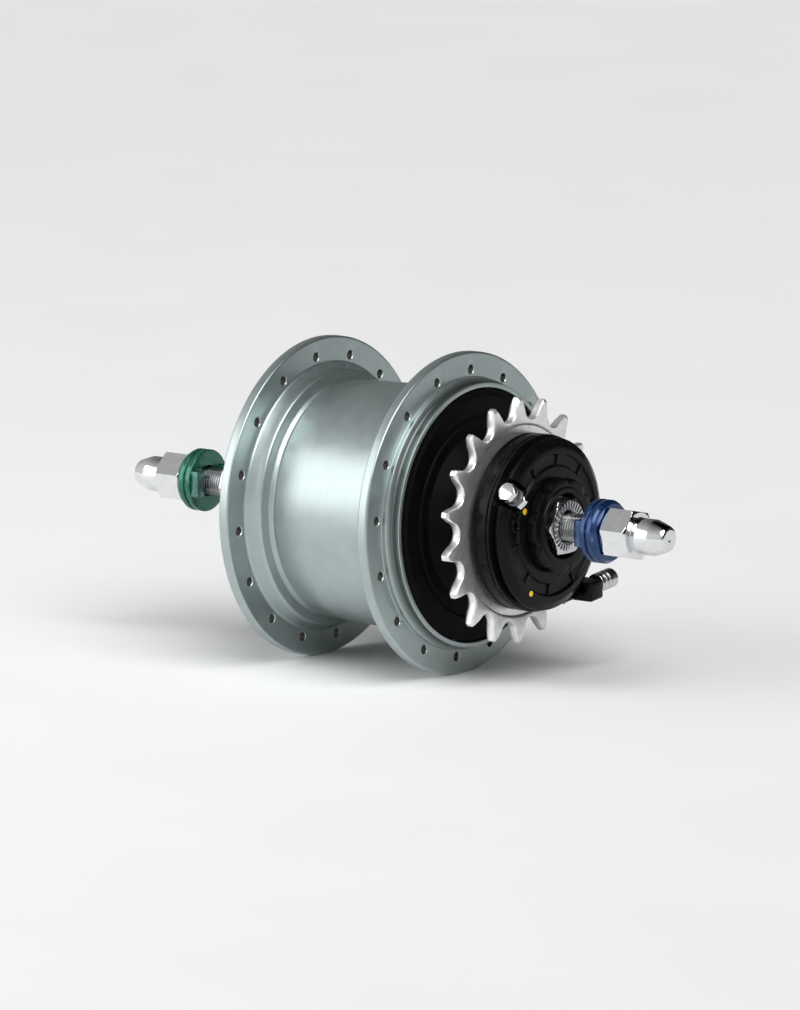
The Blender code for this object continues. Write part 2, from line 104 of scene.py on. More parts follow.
AXLE_R = radius_of("axle")
AXLE_END = station_span("axle")[1]
AXLE_BORE_R = 5.05
AXLE_FLAT = 4.2
AXLE_FLAT_START = 62.0
THREAD_PITCH = 0.977
THREAD_DEPTH = 0.55
LOCKNUT_FLATS = 17.0
CAP_NUT_FLATS = 15.0
LOCKNUT = station_span("right_locknut")
WASHER_FACE = 78.4
WASHER = WASHER_FACE, station_span("right_non_turn_washer")[1]
WASHER_R = radius_of("right_non_turn_washer")
NUT = station_span("right_cap_nut")
NUT_HEXAGON = 10.0
NUT_TURN = 47.0
BRACKET_FACE = 55.0
BRACKET = station_span("cable_bracket")[0], BRACKET_FACE
PULLEY = station_span("cable_pulley")
PULLEY_R = radius_of("cable_pulley")
FIXING = station_span("fixing_ring")
FIXING_R = radius_of("fixing_ring")
SPROCKET = station_span("sprocket")
DUST_CAP = station_span("drive_side_dust_cap")
DUST_CAP_R = radius_of("drive_side_dust_cap")

SPROCKET_TEETH = 18
CHAIN_PITCH = 12.7
ROLLER_SEAT_R = 3.95
CABLE_R = 26.2
CABLE_STATION = 57.7
CABLE_TANGENT = -84.0
CLAMP_ANGLE = 150.0
CLAMP_STATION = 60.2
CLAMP_FLATS = 5.6
PULLEY_RIBS = 10
FIXING_LOBES = 9

# light, studio and camera (metres, degrees, watts)
SOFTBOX_TOWARDS = (-0.80, 0.62, 0.38)
SOFTBOX_DISTANCE = 1.1
SOFTBOX_SIZE = (1.0, 0.8)
SOFTBOX_WATTS = 5.4
HIGH_LIGHT_TOWARDS = (-0.35, -0.55, 0.76)
HIGH_LIGHT_SPREAD = 50.0
HIGH_LIGHT = 2.9
STUDIO_BRIGHT_TOWARDS = (-0.80, 0.60, 0.0)
STUDIO_DARK = 0.03
STUDIO_BRIGHT = 0.72
STUDIO_TOP = -0.25
BACKDROP = 0.93
CAMERA_AZIMUTH = -53.0
CAMERA_ELEVATION = 9.8
CAMERA_DISTANCE = 3.0
VIEW_HEIGHT = 0.325
FLOOR_HALF_SIZE = 6.0

# steps round a turned piece
SMOOTH = 160
MEDIUM = 96
SMALL = 48


# ---------------------------------------------------------------- mesh helpers
def place(station, x, z):
    return Vector((x * MM, -station * MM, z * MM))


def polar(radius, angle):
    return radius * cos(radians(angle)), radius * sin(radians(angle))


def rounded(corners, step=14.0):
    """Closed outline with arcs at its corners; a corner is (a, b) or (a, b, fillet radius)."""
    points = []
    count = len(corners)
    for k, corner in enumerate(corners):
        here = Vector(corner[:2])
        radius = corner[2] if len(corner) > 2 else 0.0
        before = Vector(corners[k - 1][:2]) - here
        after = Vector(corners[(k + 1) % count][:2]) - here
        if radius <= 0.0 or before.length < 1e-6 or after.length < 1e-6:
            points.append(here)
            continue
        opening = before.angle(after)
        if opening > pi - 0.01:
            points.append(here)
            continue
        reach = min(radius / tan(opening / 2.0), 0.48 * before.length, 0.48 * after.length)
        radius = reach * tan(opening / 2.0)
        bisector = (before.normalized() + after.normalized()).normalized()
        centre = here + bisector * radius / sin(opening / 2.0)
        first = here + before.normalized() * reach - centre
        last = here + after.normalized() * reach - centre
        pieces = max(2, round(degrees(first.angle(last)) / step))
        turn = first.angle_signed(last)
        for j in range(pieces + 1):
            angle = -turn * j / pieces
            points.append(centre + Vector((first.x * cos(angle) - first.y * sin(angle),
                                           first.x * sin(angle) + first.y * cos(angle))))
    return [(point.x, point.y) for point in points]


def linked(name, data):
    """New object with the given data, in the scene."""
    item = bpy.data.objects.new(name, data)
    bpy.context.scene.collection.objects.link(item)
    return item


def shaded(mesh, sharp):
    """Shade a mesh smooth but for edges sharper than an angle."""
    mesh.shade_smooth()
    mesh.set_sharp_from_angle(angle=radians(sharp))


def store(name, bm, sharp=32.0, where=None):
    """Make an object from a closed bmesh, shaded smooth but for its sharp edges."""
    if where is not None:
        bmesh.ops.transform(bm, matrix=where, verts=bm.verts)
    bmesh.ops.recalc_face_normals(bm, faces=bm.faces)
    mesh = bpy.data.meshes.new(name)
    bm.to_mesh(mesh)
    bm.free()
    shaded(mesh, sharp)
    return linked(name, mesh)


def wall(bm, first, second):
    count = len(first)
    for k in range(count):
        following = (k + 1) % count
        bm.faces.new((first[k], first[following], second[following], second[k]))


def lofted(name, rings, closed=True, sharp=32.0, where=None):
    """Body through rings of equally many points; each ring is (station, points) or (stations, points)."""
    bm = bmesh.new()
    loops = []
    for station, outline in rings:
        stations = station if isinstance(station, list) else [station] * len(outline)
        loops.append([bm.verts.new(place(s, x, z)) for s, (x, z) in zip(stations, outline)])
    for first, second in zip(loops, loops[1:]):
        wall(bm, first, second)
    if closed:
        wall(bm, loops[-1], loops[0])
    else:
        bm.faces.new(loops[0])
        bm.faces.new(loops[-1])
    return store(name, bm, sharp, where)


def ring_points(radius, count, turn=0.0):
    return [polar(radius, turn + 360.0 * k / count) for k in range(count)]


def turned(name, corners, segments=MEDIUM, where=None):
    """Ring-shaped body turned about the axle from an outline of (station, radius, fillet) corners."""
    rings = [(station, ring_points(radius, segments)) for station, radius in rounded(corners)]
    return lofted(name, rings, where=where)


def turned_solid(name, corners, segments, where):
    """Body without a bore: the outline starts and ends close to the axle, and the ends are capped."""
    rings = [(station, ring_points(radius, segments)) for station, radius in corners]
    return lofted(name, rings, closed=False, where=where)


def edge_softened(item, width, segments=2):
    """Rounded edges, as a Bevel modifier."""
    bevel = item.modifiers.new("Soft edges", "BEVEL")
    bevel.width = width * MM
    bevel.segments = segments
    bevel.limit_method = "ANGLE"
    bevel.angle_limit = radians(35.0)
    bevel.harden_normals = False
    return item


def applied(item):
    """The object with its modifiers turned into mesh."""
    depsgraph = bpy.context.evaluated_depsgraph_get()
    mesh = bpy.data.meshes.new_from_object(item.evaluated_get(depsgraph))
    item.modifiers.clear()
    item.data = mesh
    return item


def boolean(item, other, operation="DIFFERENCE"):
    """Cut or join another mesh, then discard it."""
    step = item.modifiers.new("Cut", "BOOLEAN")
    step.operation = operation
    step.solver = "EXACT"
    step.object = other
    applied(item)
    bpy.data.objects.remove(other)
    return item


def block(name, size, where):
    """Box of (x, y, z) millimetres about its own middle."""
    bm = bmesh.new()
    bmesh.ops.create_cube(bm, size=1.0)
    bmesh.ops.scale(bm, verts=bm.verts, vec=[side * MM for side in size])
    return store(name, bm, where=where)


def polar_frame(radius, angle, station):
    """Matrix whose X axis is radial, Y axis runs to the brake side and Z axis is tangential."""
    x, z = polar(radius, angle)
    return Matrix.Translation(place(station, x, z)) @ Matrix.Rotation(radians(-angle), 4, "Y")


def join(name, pieces):
    """One object from several, each kept as its own closed body."""
    bm = bmesh.new()
    for piece in pieces:
        part = bmesh.new()
        part.from_mesh(piece.data)
        part.transform(piece.matrix_world)
        scratch = bpy.data.meshes.new("scratch")
        part.to_mesh(scratch)
        part.free()
        bm.from_mesh(scratch)
        bpy.data.meshes.remove(scratch)
        bpy.data.objects.remove(piece)
    mesh = bpy.data.meshes.new(name)
    bm.to_mesh(mesh)
    bm.free()
    return linked(name, mesh)


# ---------------------------------------------------------------- materials
class Paint:
    """Short way to write a procedural Principled material."""

    def __init__(self, name, colour, metallic, roughness, **sockets):
        self.material = bpy.data.materials.new(name)
        self.material.use_nodes = True
        self.tree = self.material.node_tree
        self.shader = self.tree.nodes["Principled BSDF"]
        self.shader.inputs["Base Color"].default_value = (*colour, 1.0)
        self.shader.inputs["Metallic"].default_value = metallic
        self.shader.inputs["Roughness"].default_value = roughness
        for socket, value in sockets.items():
            self.shader.inputs[socket.replace("_", " ")].default_value = value
        self.object_point = self.node("ShaderNodeTexCoord").outputs["Object"]
        self.height = None

    def node(self, kind, inputs=None, **settings):
        item = self.tree.nodes.new(kind)
        for key, value in settings.items():
            setattr(item, key, value)
        for key, value in (inputs or {}).items():
            if isinstance(value, bpy.types.NodeSocket):
                self.tree.links.new(value, item.inputs[key])
            else:
                item.inputs[key].default_value = value
        return item

    def math(self, operation, first, second=0.0):
        return self.node("ShaderNodeMath", {0: first, 1: second}, operation=operation).outputs[0]

    def noise(self, size, detail=3.0, vector=None, roughness=0.5):
        """Noise whose blobs are about the given size in millimetres."""
        vector = vector or self.object_point
        return self.node("ShaderNodeTexNoise", {
            "Vector": vector, "Scale": 1.0 / (size * MM), "Detail": detail, "Roughness": roughness,
        }).outputs["Fac"]

    def turned_point(self, drift=0.02):
        """Coordinates that change with radius and station but hardly along the cut of a lathe."""
        split = self.node("ShaderNodeSeparateXYZ", {0: self.object_point})
        flat = self.node("ShaderNodeCombineXYZ", {"X": split.outputs["X"], "Z": split.outputs["Z"]})
        radius = self.node("ShaderNodeVectorMath", {0: flat.outputs[0]}, operation="LENGTH")
        around = self.math("ADD", split.outputs["X"], split.outputs["Z"])
        return self.node("ShaderNodeCombineXYZ", {
            "X": radius.outputs["Value"],
            "Y": split.outputs["Y"],
            "Z": self.math("MULTIPLY", around, drift),
        }).outputs[0]

    def remap(self, value, low, high, start=0.3, end=0.7):
        fields = {"Value": value, "From Min": start, "From Max": end, "To Min": low, "To Max": high}
        return self.node("ShaderNodeMapRange", fields).outputs[0]

    def blend(self, factor, first, second):
        mix = self.node("ShaderNodeMix", {0: factor}, data_type="RGBA")
        for socket, value in ((6, first), (7, second)):
            if isinstance(value, bpy.types.NodeSocket):
                self.tree.links.new(value, mix.inputs[socket])
            else:
                mix.inputs[socket].default_value = (*value, 1.0)
        return mix.outputs[2]

    def bump(self, height, distance, strength=1.0):
        """Add relief of the given depth in millimetres."""
        fields = {"Height": height, "Distance": distance * MM, "Strength": strength}
        if self.height is not None:
            fields["Normal"] = self.height
        self.height = self.node("ShaderNodeBump", fields).outputs[0]
        self.link("Normal", self.height)

    def link(self, socket, value):
        self.tree.links.new(value, self.shader.inputs[socket])

    def worn_edges(self, colour, wear, amount=0.6):
        """Brighter metal where the mesh is most convex."""
        pointy = self.node("ShaderNodeNewGeometry").outputs["Pointiness"]
        mask = self.remap(pointy, 0.0, amount, 0.53, 0.62)
        rough = self.remap(self.noise(1.2), 0.2, 1.0)
        return self.blend(self.math("MULTIPLY", mask, rough), colour, wear)

    def station_band(self, start, end, soft):
        """Mask that is 1 between two stations and fades over a few tenths of a millimetre."""
        split = self.node("ShaderNodeSeparateXYZ", {0: self.object_point})
        station = self.math("MULTIPLY", split.outputs["Y"], -1.0 / MM)
        return self.math("MULTIPLY", self.remap(station, 0.0, 1.0, start - soft, start + soft),
                         self.remap(station, 1.0, 0.0, end - soft, end + soft))


def shell_paint():
    """Satin silver lacquer over cast and turned alloy; its cool green-grey tint is painted reflection of a
    teal frame, and a dark band in the lip groove is painted shade.
    """
    # The green-grey tint of these colours is painted reflection of a teal frame.
    paint = Paint("shell_alloy", (0.36, 0.425, 0.42), 0.85, 0.37)
    cloud = paint.noise(5.0, 4.0)
    speckle = paint.noise(0.22, 2.0)
    base = paint.blend(paint.remap(cloud, 0.0, 1.0), (0.35, 0.412, 0.407), (0.39, 0.45, 0.445))
    base = paint.blend(paint.remap(speckle, 0.0, 0.22, 0.45, 0.75), base, (0.56, 0.61, 0.61))
    # Painted shade: the colour darkens to a dark band across the lip groove's stations.
    base = paint.blend(paint.station_band(*LIP_GROOVE, 0.4), base, (0.13, 0.15, 0.145))
    paint.link("Base Color", paint.worn_edges(base, (0.55, 0.60, 0.60), 0.4))
    lathe = paint.noise(0.35, 2.0, paint.turned_point())
    paint.link("Roughness", paint.math("ADD", paint.remap(cloud, 0.31, 0.36),
                                       paint.remap(lathe, -0.03, 0.05)))
    paint.bump(speckle, 0.012, 0.7)
    paint.bump(lathe, 0.006, 0.6)
    return paint.material


def steel_paint(name, colour, roughness, stained=0.1):
    """Turned or ground steel with fine rings, slight stain and a dull film."""
    paint = Paint(name, colour, 1.0, roughness)
    stain = paint.noise(3.5, 5.0)
    rings = paint.noise(0.25, 2.0, paint.turned_point())
    dark = [channel * (1.0 - 2.0 * stained) for channel in colour]
    light = [min(1.0, channel * (1.0 + stained)) for channel in colour]
    paint.link("Base Color", paint.blend(paint.remap(stain, 0.0, 1.0), dark, light))
    paint.link("Roughness", paint.math("ADD", paint.remap(stain, roughness - 0.05, roughness + 0.08),
                                       paint.remap(rings, -0.05, 0.05)))
    paint.bump(rings, 0.005, 0.7)
    return paint.material


def stamped_paint():
    """Zinc-plated stamped steel with tumbling marks and fine scratches."""
    paint = Paint("sprocket_steel", (0.78, 0.78, 0.775), 0.85, 0.38)
    cloud = paint.noise(2.2, 4.0)
    marks = paint.noise(0.5, 6.0, roughness=0.7)
    base = paint.blend(paint.remap(cloud, 0.0, 1.0), (0.70, 0.70, 0.69), (0.86, 0.86, 0.855))
    paint.link("Base Color", paint.worn_edges(base, (0.88, 0.88, 0.87), 0.7))
    paint.link("Roughness", paint.remap(marks, 0.26, 0.46))
    paint.bump(marks, 0.01, 0.6)
    paint.bump(paint.noise(0.2, 2.0, paint.turned_point()), 0.004, 0.5)
    return paint.material


def chrome_paint():
    """Bright chrome with faint polishing haze and finger smears."""
    paint = Paint("nut_chrome", (0.76, 0.77, 0.78), 1.0, 0.09)
    haze = paint.noise(2.5, 5.0, roughness=0.6)
    paint.link("Roughness", paint.remap(haze, 0.05, 0.17))
    paint.link("Base Color", paint.blend(paint.remap(haze, 0.0, 1.0),
                                         (0.70, 0.71, 0.72), (0.80, 0.81, 0.82)))
    paint.bump(paint.noise(1.6, 2.0), 0.01, 0.35)
    return paint.material


def coated_paint(name, deep, bright):
    """Coloured glossy coating over plated steel, thin on the edges."""
    paint = Paint(name, deep, 0.55, 0.22, Coat_Weight=0.35, Coat_Roughness=0.12)
    cloud = paint.noise(1.6, 4.0)
    base = paint.blend(paint.remap(cloud, 0.0, 1.0), deep, bright)
    paint.link("Base Color", paint.worn_edges(base, (0.30, 0.36, 0.45), 0.3))
    paint.link("Roughness", paint.remap(cloud, 0.18, 0.30))
    paint.bump(paint.noise(0.2, 2.0, paint.turned_point()), 0.004, 0.6)
    return paint.material


def plastic_paint(name, colour, roughness, grain=0.25, depth=0.01, dust=0.10, specular=0.5):
    """Moulded black plastic with a fine grain and a trace of dust."""
    paint = Paint(name, colour, 0.0, roughness, Specular_IOR_Level=specular)
    cloud = paint.noise(6.0, 5.0, roughness=0.65)
    fine = paint.noise(grain, 2.0)
    dusty = [channel + dust * 0.3 for channel in colour]
    paint.link("Base Color", paint.blend(paint.remap(cloud, 0.0, 1.0, 0.45, 0.80), colour, dusty))
    paint.link("Roughness", paint.math("ADD", paint.remap(cloud, roughness - 0.04, roughness + 0.12),
                                       paint.remap(fine, -0.03, 0.03)))
    paint.bump(fine, depth, 0.8)
    return paint.material


def spoke_hole_shade_paint():
    """Dark wall of a drilled spoke hole: painted shade inside the hole, mottled by noise."""
    # Painted shade: near-black colours that make the spoke holes read dark.
    paint = Paint("spoke_hole_shade", (0.06, 0.055, 0.05), 0.5, 0.65)
    mottle = paint.noise(0.8, 3.0)
    paint.link("Base Color", paint.blend(paint.remap(mottle, 0.0, 1.0),
                                         (0.035, 0.03, 0.025), (0.10, 0.09, 0.08)))
    paint.bump(mottle, 0.03, 0.6)
    return paint.material


def mark_paint():
    """Yellow setting mark, slightly uneven paint."""
    paint = Paint("mark_yellow", (0.85, 0.50, 0.02), 0.0, 0.45)
    cloud = paint.noise(0.7, 3.0)
    paint.link("Base Color", paint.blend(paint.remap(cloud, 0.0, 1.0),
                                         (0.72, 0.38, 0.01), (0.90, 0.56, 0.03)))
    paint.bump(cloud, 0.02, 0.6)
    return paint.material


def floor_paint():
    """Plain pale floor."""
    paint = Paint("floor", (0.86, 0.86, 0.86), 0.0, 0.75)
    paint.link("Roughness", paint.remap(paint.noise(60.0), 0.70, 0.80))
    return paint.material


MATERIALS = {
    "shell_alloy": shell_paint(),
    "sprocket_steel": stamped_paint(),
    "axle_steel": steel_paint("axle_steel", (0.40, 0.40, 0.41), 0.34),
    "gear_steel": steel_paint("gear_steel", (0.44, 0.44, 0.45), 0.30),
    "bearing_steel": steel_paint("bearing_steel", (0.56, 0.56, 0.57), 0.20),
    "driver_steel": steel_paint("driver_steel", (0.20, 0.20, 0.21), 0.40),
    "locknut_steel": steel_paint("locknut_steel", (0.62, 0.62, 0.63), 0.24),
    "nut_chrome": chrome_paint(),
    "clutch_bronze": steel_paint("clutch_bronze", (0.55, 0.40, 0.20), 0.32),
    "black_plastic": plastic_paint("black_plastic", (0.003, 0.003, 0.0035), 0.22,
                                   dust=0.008, specular=0.12),
    "dust_cap_black": plastic_paint("dust_cap_black", (0.002, 0.002, 0.002), 0.50,
                                    dust=0.006, specular=0.06),
    "seal_rubber": plastic_paint("seal_rubber", (0.018, 0.018, 0.018), 0.62, grain=0.4, depth=0.02),
    "washer_blue": coated_paint("washer_blue", (0.003, 0.020, 0.085), (0.008, 0.050, 0.165)),
    "washer_green": coated_paint("washer_green", (0.010, 0.095, 0.060), (0.020, 0.16, 0.10)),
}


def dress(item, slot, body, *nodes, material=None):
    """Give a piece the material of its slot, or the one given, let it ride on a body and stand for CAD
    nodes.
    """
    item.data.materials.clear()
    item.data.materials.append(material or MATERIALS[slot])
    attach(item, body)
    if nodes:
        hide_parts(*nodes)
    return item


# ---------------------------------------------------------------- hub shell
def make_shell():
    """Turned shell: threaded boss, dished side, flanges, steps, bulged barrel and grooved lip."""
    left_out, left_in = LEFT_FLANGE
    right_in, right_out = RIGHT_FLANGE
    thread = []
    for k in range(BOSS_THREAD_TURNS):
        start = BOSS_END + 0.9 + k
        thread += [(start, BOSS_BORE_R), (start + 0.5, BOSS_THREAD_R)]
    corners = [
        (BOSS_END, BOSS_THREAD_R, 0.3), (BOSS_END, 15.6, 0.4), (-52.4, 15.6, 0.3), (-51.9, 15.0, 0.2),
        (-51.3, 15.0), (-51.3, 21.5, 0.6), (-47.6, 22.0, 1.5), (-41.2, 35.8, 7.0), (left_out, 43.0, 2.0),
        (left_out, FLANGE_R, 0.7), (left_in, FLANGE_R, 0.7), (left_in, 43.4, 1.2), (-26.6, 42.2, 1.0),
        (-24.5, 41.6, 1.0), (-23.7, 38.6, 0.6), (-22.4, BARREL_R - 1.3, 0.6), (-21.2, BARREL_R - 0.2, 0.7),
        (-12.0, BARREL_R + 0.5, 12.0), (0.0, BARREL_R + 0.9, 20.0), (12.0, BARREL_R + 0.8, 14.0),
        (18.6, 40.2, 6.0), (right_in, 44.0, 2.5), (right_in, FLANGE_R, 0.7), (right_out, FLANGE_R, 0.7),
        (right_out, 43.9, 0.3), (27.3, 43.9, 0.35), (28.3, 41.95, 0.9), (30.7, 42.3, 0.9),
        (MOUTH_END - 0.1, 42.75, 0.2), (MOUTH_END, 41.1, 0.4), (30.8, 40.95, 0.3),
        (26.3, 41.0), (24.2, BORE_R), (-31.0, BORE_R, 3.0),
        (-37.0, 30.0), (-42.5, 20.0), (-44.4, BOSS_BORE_R), (-50.5, BOSS_BORE_R),
    ] + thread[::-1]
    shell = turned("shell_body", corners, SMOOTH)
    for flange, phase in SPOKE_ROWS:
        shell = boolean(shell, spoke_cutters(flange, phase))
    shaded(shell.data, 28.0)
    dress(shell, "shell_alloy", "shell", "hub_shell")
    # The walls of the spoke holes take a second material whose dark colour is painted shade.
    shell.data.materials.append(spoke_hole_shade_paint())
    for face in shell.data.polygons:
        if in_spoke_hole(face.center):
            face.material_index = 1
    return shell


def in_spoke_hole(where):
    """Whether a place lies on the wall of a spoke hole."""
    x, station, z = where.x / MM, -where.y / MM, where.z / MM
    step = 360.0 / SPOKE_HOLES
    for (start, end), phase in SPOKE_ROWS:
        if not start + 0.3 < station < end - 0.3:
            continue
        nearest = round((degrees(atan2(z, x)) - phase) / step)
        hole = polar(SPOKE_CIRCLE_R, phase + nearest * step)
        if sqrt((x - hole[0]) ** 2 + (z - hole[1]) ** 2) < SPOKE_HOLE_R + 0.2:
            return True
    return False


def spoke_cutters(flange, phase):
    """Countersunk drills for one flange's spoke holes."""
    start, end = flange
    wide = SPOKE_HOLE_R + 0.55
    profile = [(start - 0.3, wide), (start + 0.25, SPOKE_HOLE_R),
               (end - 0.25, SPOKE_HOLE_R), (end + 0.3, wide)]
    cutters = []
    for k in range(SPOKE_HOLES):
        x, z = polar(SPOKE_CIRCLE_R, phase + 360.0 * k / SPOKE_HOLES)
        cutters.append(turned_solid("drill", profile, 20, Matrix.Translation((x * MM, 0.0, z * MM))))
    return join("drills", cutters)


def make_rotor_splines():
    """Splined ring round the boss, which the brake rotor's carrier slides over."""
    wave = (0.0, 0.0, 0.5, 1.0, 1.0, 1.0, 0.5, 0.0)
    count = SPLINES * len(wave)

    def outline(height):
        points = []
        for k in range(count):
            radius = SPLINE_ROOT_R + (SPLINE_TIP_R - SPLINE_ROOT_R) * wave[k % len(wave)] * height
            points.append(polar(radius, 360.0 * k / count))
        return points

    inside = ring_points(15.4, count)
    rings = [(-59.3, outline(0.0)), (-58.6, outline(1.0)), (-52.6, outline(1.0)), (-52.4, outline(0.8)),
             (-52.4, inside), (-59.3, inside)]
    return dress(lofted("rotor_splines", rings), "shell_alloy", "shell")


# ---------------------------------------------------------------- axle, nuts and washers
def hexagon_radius(flats, angle):
    """Distance from the middle of a hexagon to its side at an angle from one of its corners."""
    return flats / 2.0 / cos(radians(angle % 60.0 - 30.0))


def hexagon_ring(flats, limit, turn):
    """Ring of a hexagon bar after a chamfer has cut it down to a limiting radius."""
    points = []
    for k in range(MEDIUM):
        angle = 360.0 * k / MEDIUM
        points.append(polar(min(hexagon_radius(flats, angle), limit), angle + turn))
    return points


def chamfered_hexagon(flats, start, end, turn=0.0):
    """Rings of a hexagon with turned chamfers at its ends."""
    depth = flats / sqrt(3.0) - flats / 2.0
    first, last = [], []
    for part in [k / 6.0 for k in range(7)]:
        ring = hexagon_ring(flats, flats / 2.0 - 0.15 + part * (depth + 0.15), turn)
        first.append((start + part * depth * 0.6, ring))
        last.append((end - part * depth * 0.6, ring))
    return first + last[::-1]


def make_locknut(word, side):
    """Locknut with a serrated face that bites the frame."""
    start, end = LOCKNUT
    rings = chamfered_hexagon(LOCKNUT_FLATS, start, end - 0.25)
    face = [end - 0.25 if k % 3 else end for k in range(MEDIUM)]
    rings += [(station, ring_points(radius, MEDIUM)) for station, radius in (
        (face, 7.9), (face, 5.9), (end - 0.5, 5.4), (end - 0.8, AXLE_BORE_R), (start, AXLE_BORE_R))]
    nut = lofted(f"{word}_locknut_body", flipped(rings, side), sharp=25.0)
    return dress(nut, "locknut_steel", "axle", f"{word}_locknut")


def flipped(rings, side):
    """The same rings on the chosen side of the hub."""
    result = []
    for station, outline in rings:
        station = [side * s for s in station] if isinstance(station, list) else side * station
        result.append((station, outline))
    return result


def make_cap_nut(word, side):
    """Chromed cap nut: chamfered hexagon, narrow neck, round cap and tapered end."""
    start, end = NUT
    neck = start + NUT_HEXAGON
    bore = [(AXLE_END + 2.4, 0.4), (AXLE_END + 1.0, AXLE_BORE_R), (start + 0.3, AXLE_BORE_R), (start, 5.3)]
    cap = [(neck, 6.0), (neck + 0.1, 5.5), (neck + 0.25, 5.25), (neck + 0.6, 5.25), (neck + 0.75, 5.45),
           (neck + 0.95, 5.72), (neck + 1.2, 5.8), (end - 5.6, 5.8), (end - 5.1, 5.72), (end - 1.6, 4.5),
           (end - 0.9, 4.22), (end - 0.4, 3.9), (end - 0.1, 3.45), (end, 3.0), (end, 0.9), (end - 0.5, 0.3)]
    rings = [(s, ring_points(r, MEDIUM, NUT_TURN)) for s, r in bore]
    rings += chamfered_hexagon(CAP_NUT_FLATS, start, neck, NUT_TURN)
    rings += [(s, ring_points(r, MEDIUM, NUT_TURN)) for s, r in cap]
    nut = lofted(f"{word}_cap_nut_body", flipped(rings, side), closed=False, sharp=25.0)
    return dress(nut, "nut_chrome", "axle", f"{word}_cap_nut")


def make_washer(word, side, slot):
    """Non-turn washer: stepped and grooved disc with two lugs for the frame's slot."""
    inner, outer = WASHER
    groove_r = WASHER_R - 0.7
    corners = [
        (inner, AXLE_R + 0.3, 0.1), (inner, WASHER_R, 0.4), (inner + 1.8, WASHER_R, 0.35),
        (inner + 2.05, groove_r, 0.15), (inner + 2.45, groove_r, 0.15), (inner + 2.7, WASHER_R, 0.35),
        (outer - 1.5, WASHER_R, 0.5), (outer - 0.9, groove_r, 0.3), (outer, groove_r - 0.3, 0.3),
        (outer, AXLE_R + 0.3, 0.1)]
    disc = turned(f"{word}_washer_disc", [(side * s, *rest) for s, *rest in corners])
    for x in (7.4, -7.4):
        where = Matrix.Translation(place(side * (inner - 1.2), x, 0.0))
        lug = edge_softened(block("lug", (3.6, 3.2, 8.6), where), 0.5, 3)
        disc = boolean(disc, lug, "UNION")
    shaded(disc.data, 30.0)
    return dress(disc, slot, "axle", f"{word}_non_turn_washer")


def make_axle():
    """Axle with a rolled thread where it shows and two flats along its ends."""
    chamfer = 0.9

    def outline(station, threaded=False):
        points = []
        for k in range(SMALL):
            angle = 360.0 * k / SMALL
            radius = AXLE_R - 0.02
            if threaded:
                phase = (station / THREAD_PITCH + k / SMALL) % 1.0
                radius -= THREAD_DEPTH * min(1.0, max(0.0, 1.35 - abs(4.0 * phase - 2.0) * 1.35)) * 0.9
            height = abs(sin(radians(angle)))
            if abs(station) > AXLE_FLAT_START and radius * height > AXLE_FLAT:
                radius = AXLE_FLAT / height
            points.append(polar(radius, angle))
        return points

    tip = ring_points(AXLE_R - chamfer, SMALL)
    rings = [(-AXLE_END, tip), (chamfer - AXLE_END, outline(chamfer - AXLE_END))]
    for start, end in ((-76.5, -66.0), (66.0, 76.5)):
        steps = round((end - start) / THREAD_PITCH * 8)
        rings.append((start - 0.01, outline(start)))
        for k in range(steps + 1):
            station = start + (end - start) * k / steps
            rings.append((station, outline(station, True)))
        rings.append((end + 0.01, outline(end)))
    rings += [(AXLE_END - chamfer, outline(AXLE_END - chamfer)), (AXLE_END, tip)]
    return dress(lofted("axle_bar", rings, closed=False, sharp=40.0), "axle_steel", "axle", "axle")


def make_left_end():
    """Cone collar, spacer and lip seal at the brake side."""
    cone = turned("left_cone_body", [
        (-60.0, AXLE_BORE_R, 0.1), (-60.0, 8.8, 0.35), (-52.5, 8.8, 0.6), (-49.6, 12.3, 0.3),
        (-49.0, 12.3, 0.2), (-49.0, AXLE_BORE_R)])
    dress(cone, "bearing_steel", "axle", "left_cone")
    spacer = turned("left_spacer_body", [
        (-63.2, AXLE_BORE_R, 0.1), (-63.2, 8.6, 0.4), (-62.1, 8.6, 0.2), (-61.9, 8.2, 0.1),
        (-61.6, 8.2, 0.1), (-61.4, 8.6, 0.2), (-60.3, 8.6, 0.4), (-60.3, AXLE_BORE_R)])
    dress(spacer, "locknut_steel", "axle", "left_spacer")
    seal = turned("left_seal_body", [
        (-57.6, 9.15), (-59.1, 9.15, 0.2), (-59.8, 9.9, 0.3), (-59.5, 10.6, 0.3), (-58.8, 11.0, 0.3),
        (-58.8, 12.6, 0.2), (-59.4, 12.9, 0.2), (-59.6, 13.7, 0.3), (-57.6, 13.7)])
    dress(seal, "seal_rubber", "shell", "left_seal")


# ---------------------------------------------------------------- drive side
def make_dust_cap():
    """Stepped black cap between the shell's mouth and the sprocket."""
    start, end = DUST_CAP
    corners = [(start, 17.4), (start, DUST_CAP_R, 0.3), (start + 1.0, DUST_CAP_R, 0.35),
               (start + 1.2, 39.2, 0.3), (start + 1.8, 38.4, 0.3), (start + 1.8, 33.0, 0.4),
               (start + 1.2, 32.4, 0.3), (start + 1.2, 31.6, 0.3), (start + 1.8, 31.0, 0.4),
               (start + 1.8, 27.6, 1.2), (end - 5.4, 24.0, 1.0), (end - 1.4, 21.0, 0.8), (end, 20.0, 0.5),
               (end, 17.4)]
    cap = turned("dust_cap_body", corners, SMOOTH)
    return dress(cap, "dust_cap_black", "driver", "drive_side_dust_cap")


